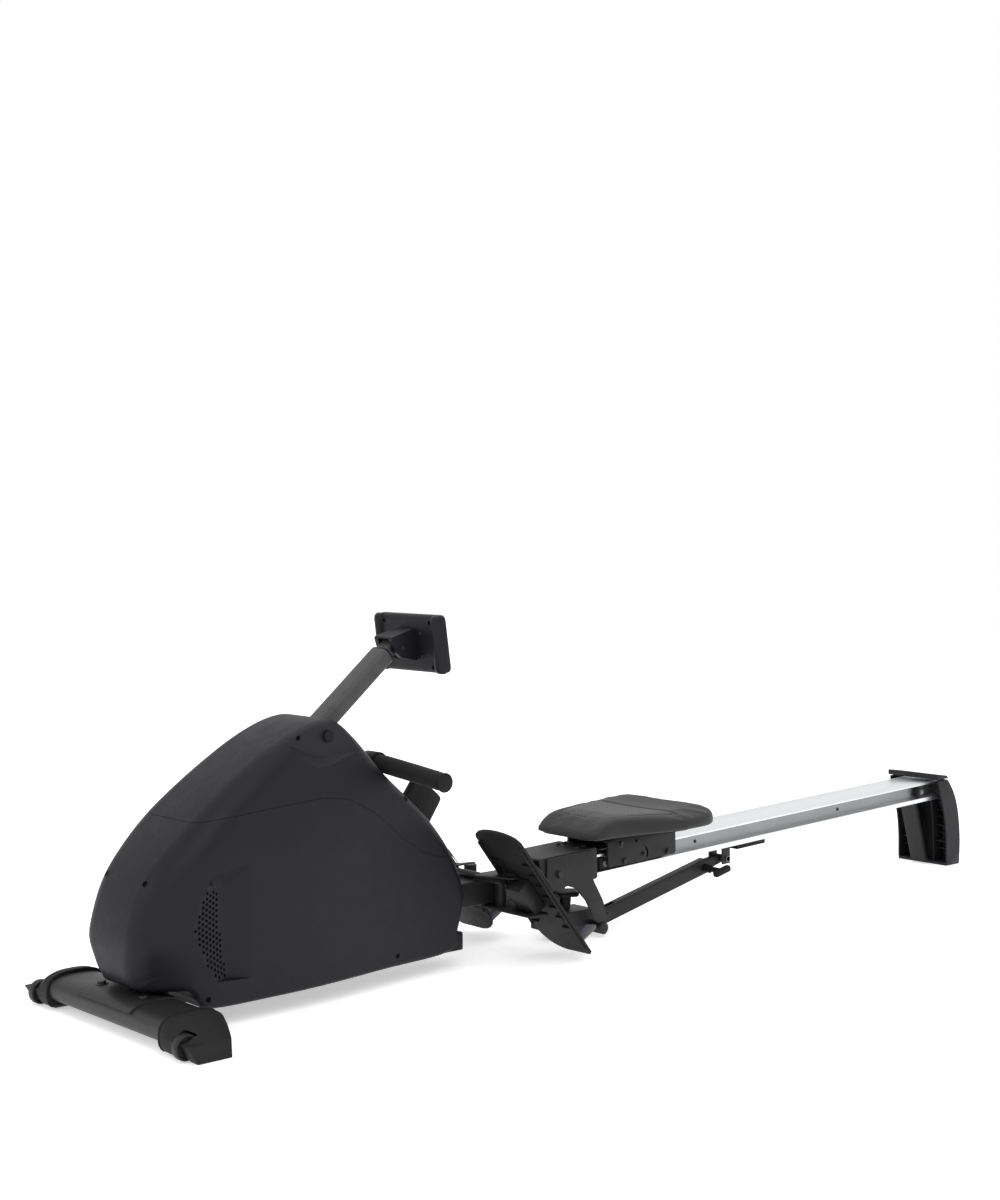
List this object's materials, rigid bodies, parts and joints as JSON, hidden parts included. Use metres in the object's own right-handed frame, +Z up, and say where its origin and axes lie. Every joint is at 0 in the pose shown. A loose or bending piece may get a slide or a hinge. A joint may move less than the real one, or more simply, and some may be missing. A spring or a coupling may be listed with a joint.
{
  "type": "rowing machine",
  "caption": "Folding rowing machine: moulded flywheel housing on a front stabiliser, pull handle, tilting console, strapped footplates and a padded seat rolling on an inclined aluminium rail.",
  "frame": {"origin": "on the floor under the centre of the machine's bounding box", "axes": "+X from the front stabiliser to the rear foot, +Y across the machine, +Z up"},
  "size_m": [2.197, 0.49, 0.6259],
  "materials": {
    "grey_paint": "satin powder coat",
    "shell_plastic": "fine moulded texture",
    "black_plastic": "moulded",
    "cap_plastic": "fine moulded texture",
    "foam": "closed-cell foam",
    "aluminium": "extruded, clear anodised",
    "steel": "zinc plated",
    "cast_iron": "turned",
    "rubber": "matte",
    "seat_foam": "textured skin over foam",
    "webbing": "woven",
    "screen_glass": "clear window over display"
  },
  "bodies": {
    "base": {"front_stabiliser_tube": "grey_paint", "stabiliser_end_cap_left": "cap_plastic", "stabiliser_end_cap_right": "cap_plastic", "stabiliser_saddle_pad": "grey_paint", "main_beam": "grey_paint", "base_beam": "grey_paint", "rail_bracket_plate_left": "grey_paint", "rail_bracket_plate_right": "grey_paint", "rail_pivot_bolt": "steel", "footrest_frame": "grey_paint", "footplate_left": "black_plastic", "footplate_right": "black_plastic", "foot_strap_left": "webbing", "foot_strap_right": "webbing", "console_mast": "grey_paint", "strap_nozzle": "black_plastic", "housing_upper_left": "shell_plastic", "housing_upper_right": "shell_plastic", "housing_lower_left": "shell_plastic", "housing_lower_right": "shell_plastic", "axle_frame": "steel", "return_spring_case": "black_plastic", "drive_belt": "rubber"},
    "transport_wheel_left": {"transport_wheel_left": "rubber"},
    "transport_wheel_right": {"transport_wheel_right": "rubber"},
    "star_knob": {"star_knob": "black_plastic"},
    "heel_cup_left": {"heel_cup_left": "black_plastic"},
    "heel_cup_right": {"heel_cup_right": "black_plastic"},
    "flywheel": {"flywheel": "cast_iron"},
    "drum": {"drive_drum": "black_plastic"},
    "magnet_arm": {"magnet_arm": "steel"},
    "handle": {"handle_grip": "foam", "handle_end_cap_left": "black_plastic", "handle_end_cap_right": "black_plastic", "handle_clamp": "black_plastic", "pull_strap": "webbing"},
    "console": {"console_body": "shell_plastic", "console_screen": "screen_glass", "console_bracket": "shell_plastic"},
    "button_left": {"console_button_left": "cap_plastic"},
    "button_middle": {"console_button_middle": "cap_plastic"},
    "button_right": {"console_button_right": "cap_plastic"},
    "rail": {"rail_extrusion": "aluminium", "rail_hinge_adapter": "grey_paint", "rail_stop_front": "rubber", "rail_stop_rear": "rubber", "rear_foot_shell": "shell_plastic", "rear_foot_cap": "shell_plastic", "rear_leg": "grey_paint", "shoe_stop_block": "black_plastic"},
    "strut_shoe": {"strut_shoe": "grey_paint"},
    "strut": {"strut_tube": "grey_paint"},
    "strut_pull_knob": {"strut_pull_knob": "black_plastic"},
    "seat": {"seat_pad": "seat_foam", "seat_pan": "black_plastic", "carriage_frame": "grey_paint"},
    "roller_front_left": {"seat_roller_front_left": "black_plastic"},
    "roller_front_right": {"seat_roller_front_right": "black_plastic"},
    "roller_rear_left": {"seat_roller_rear_left": "black_plastic"},
    "roller_rear_right": {"seat_roller_rear_right": "black_plastic"}
  },
  "joints": [
    {"name": "rail_fold", "type": "hinge", "parent": "base", "child": "rail", "pos_m": [-0.1685, 0, 0.135], "axis": [0, -1, 0], "range_deg": [0, 85]},
    {"name": "shoe_slide", "type": "slide", "parent": "rail", "child": "strut_shoe", "axis": [0.9994, 0, 0.0354], "range_m": [-0.285, 0]},
    {"name": "strut_swing", "type": "hinge", "parent": "base", "child": "strut", "pos_m": [0.0025, 0, 0.027], "axis": [0, -1, 0], "range_deg": [0, 96]},
    {"name": "strut_knob_pull", "type": "slide", "parent": "strut", "child": "strut_pull_knob", "axis": [0, -1, 0], "range_m": [0, 0.007], "stiffness_N_per_m": 600, "springref_m": -0.003},
    {"name": "seat_slide", "type": "slide", "parent": "rail", "child": "seat", "axis": [0.9994, 0, 0.0354], "range_m": [0, 0.8]},
    {"name": "roller_spin_front_left", "type": "hinge", "parent": "seat", "child": "roller_front_left", "pos_m": [0.00348, -0.039, 0.13869], "axis": [0, 1, 0], "continuous": true},
    {"name": "roller_spin_front_right", "type": "hinge", "parent": "seat", "child": "roller_front_right", "pos_m": [0.00348, 0.039, 0.13869], "axis": [0, 1, 0], "continuous": true},
    {"name": "roller_spin_rear_left", "type": "hinge", "parent": "seat", "child": "roller_rear_left", "pos_m": [0.1234, -0.039, 0.14294], "axis": [0, 1, 0], "continuous": true},
    {"name": "roller_spin_rear_right", "type": "hinge", "parent": "seat", "child": "roller_rear_right", "pos_m": [0.1234, 0.039, 0.14294], "axis": [0, 1, 0], "continuous": true},
    {"name": "handle_pull", "type": "slide", "parent": "base", "child": "handle", "axis": [1, 0, 0], "range_m": [0, 1.2], "stiffness_N_per_m": 8, "springref_m": -0.6},
    {"name": "drum_spin", "type": "hinge", "parent": "base", "child": "drum", "pos_m": [-0.6105, 0, 0.225], "axis": [0, -1, 0], "range_deg": [-1, 2900]},
    {"name": "flywheel_spin", "type": "hinge", "parent": "base", "child": "flywheel", "pos_m": [-0.8005, 0, 0.264], "axis": [0, -1, 0], "continuous": true},
    {"name": "magnet_arm_swing", "type": "hinge", "parent": "base", "child": "magnet_arm", "pos_m": [-0.9125, 0, 0.33], "axis": [0, 1, 0], "range_deg": [0, 6]},
    {"name": "console_tilt", "type": "hinge", "parent": "base", "child": "console", "pos_m": [-0.5145, 0, 0.568], "axis": [0, 1, 0], "range_deg": [-15, 15]},
    {"name": "button_left_press", "type": "slide", "parent": "console", "child": "button_left", "axis": [-0.9925, 0, -0.1219], "range_m": [0, 0.0015], "stiffness_N_per_m": 400, "springref_m": -0.0005},
    {"name": "button_middle_press", "type": "slide", "parent": "console", "child": "button_middle", "axis": [-0.9925, 0, -0.1219], "range_m": [0, 0.0015], "stiffness_N_per_m": 400, "springref_m": -0.0005},
    {"name": "button_right_press", "type": "slide", "parent": "console", "child": "button_right", "axis": [-0.9925, 0, -0.1219], "range_m": [0, 0.0015], "stiffness_N_per_m": 400, "springref_m": -0.0005},
    {"name": "transport_wheel_spin_left", "type": "hinge", "parent": "base", "child": "transport_wheel_left", "pos_m": [-1.0785, -0.216, 0.0215], "axis": [0, 1, 0], "continuous": true},
    {"name": "heel_cup_slide_left", "type": "slide", "parent": "base", "child": "heel_cup_left", "axis": [-0.6238, 0, 0.7816], "range_m": [0, 0.05]},
    {"name": "transport_wheel_spin_right", "type": "hinge", "parent": "base", "child": "transport_wheel_right", "pos_m": [-1.0785, 0.216, 0.0215], "axis": [0, 1, 0], "continuous": true},
    {"name": "heel_cup_slide_right", "type": "slide", "parent": "base", "child": "heel_cup_right", "axis": [-0.6238, 0, 0.7816], "range_m": [0, 0.05]},
    {"name": "star_knob_turn", "type": "hinge", "parent": "base", "child": "star_knob", "pos_m": [-0.1045, 0, 0.052], "axis": [0, 0, 1], "range_deg": [0, 720]}
  ],
  "couplings": [
    {"joint": "strut_swing", "follows": "rail_fold", "ratio": 1.127},
    {"joint": "shoe_slide", "follows": "rail_fold", "m_per_rad": -0.1908},
    {"joint": "drum_spin", "follows": "handle_pull", "rad_per_m": 41.667},
    {"joint": "roller_spin_front_left", "follows": "seat_slide", "rad_per_m": 90.909},
    {"joint": "roller_spin_front_right", "follows": "seat_slide", "rad_per_m": 90.909},
    {"joint": "roller_spin_rear_left", "follows": "seat_slide", "rad_per_m": 90.909},
    {"joint": "roller_spin_rear_right", "follows": "seat_slide", "rad_per_m": 90.909}
  ]
}
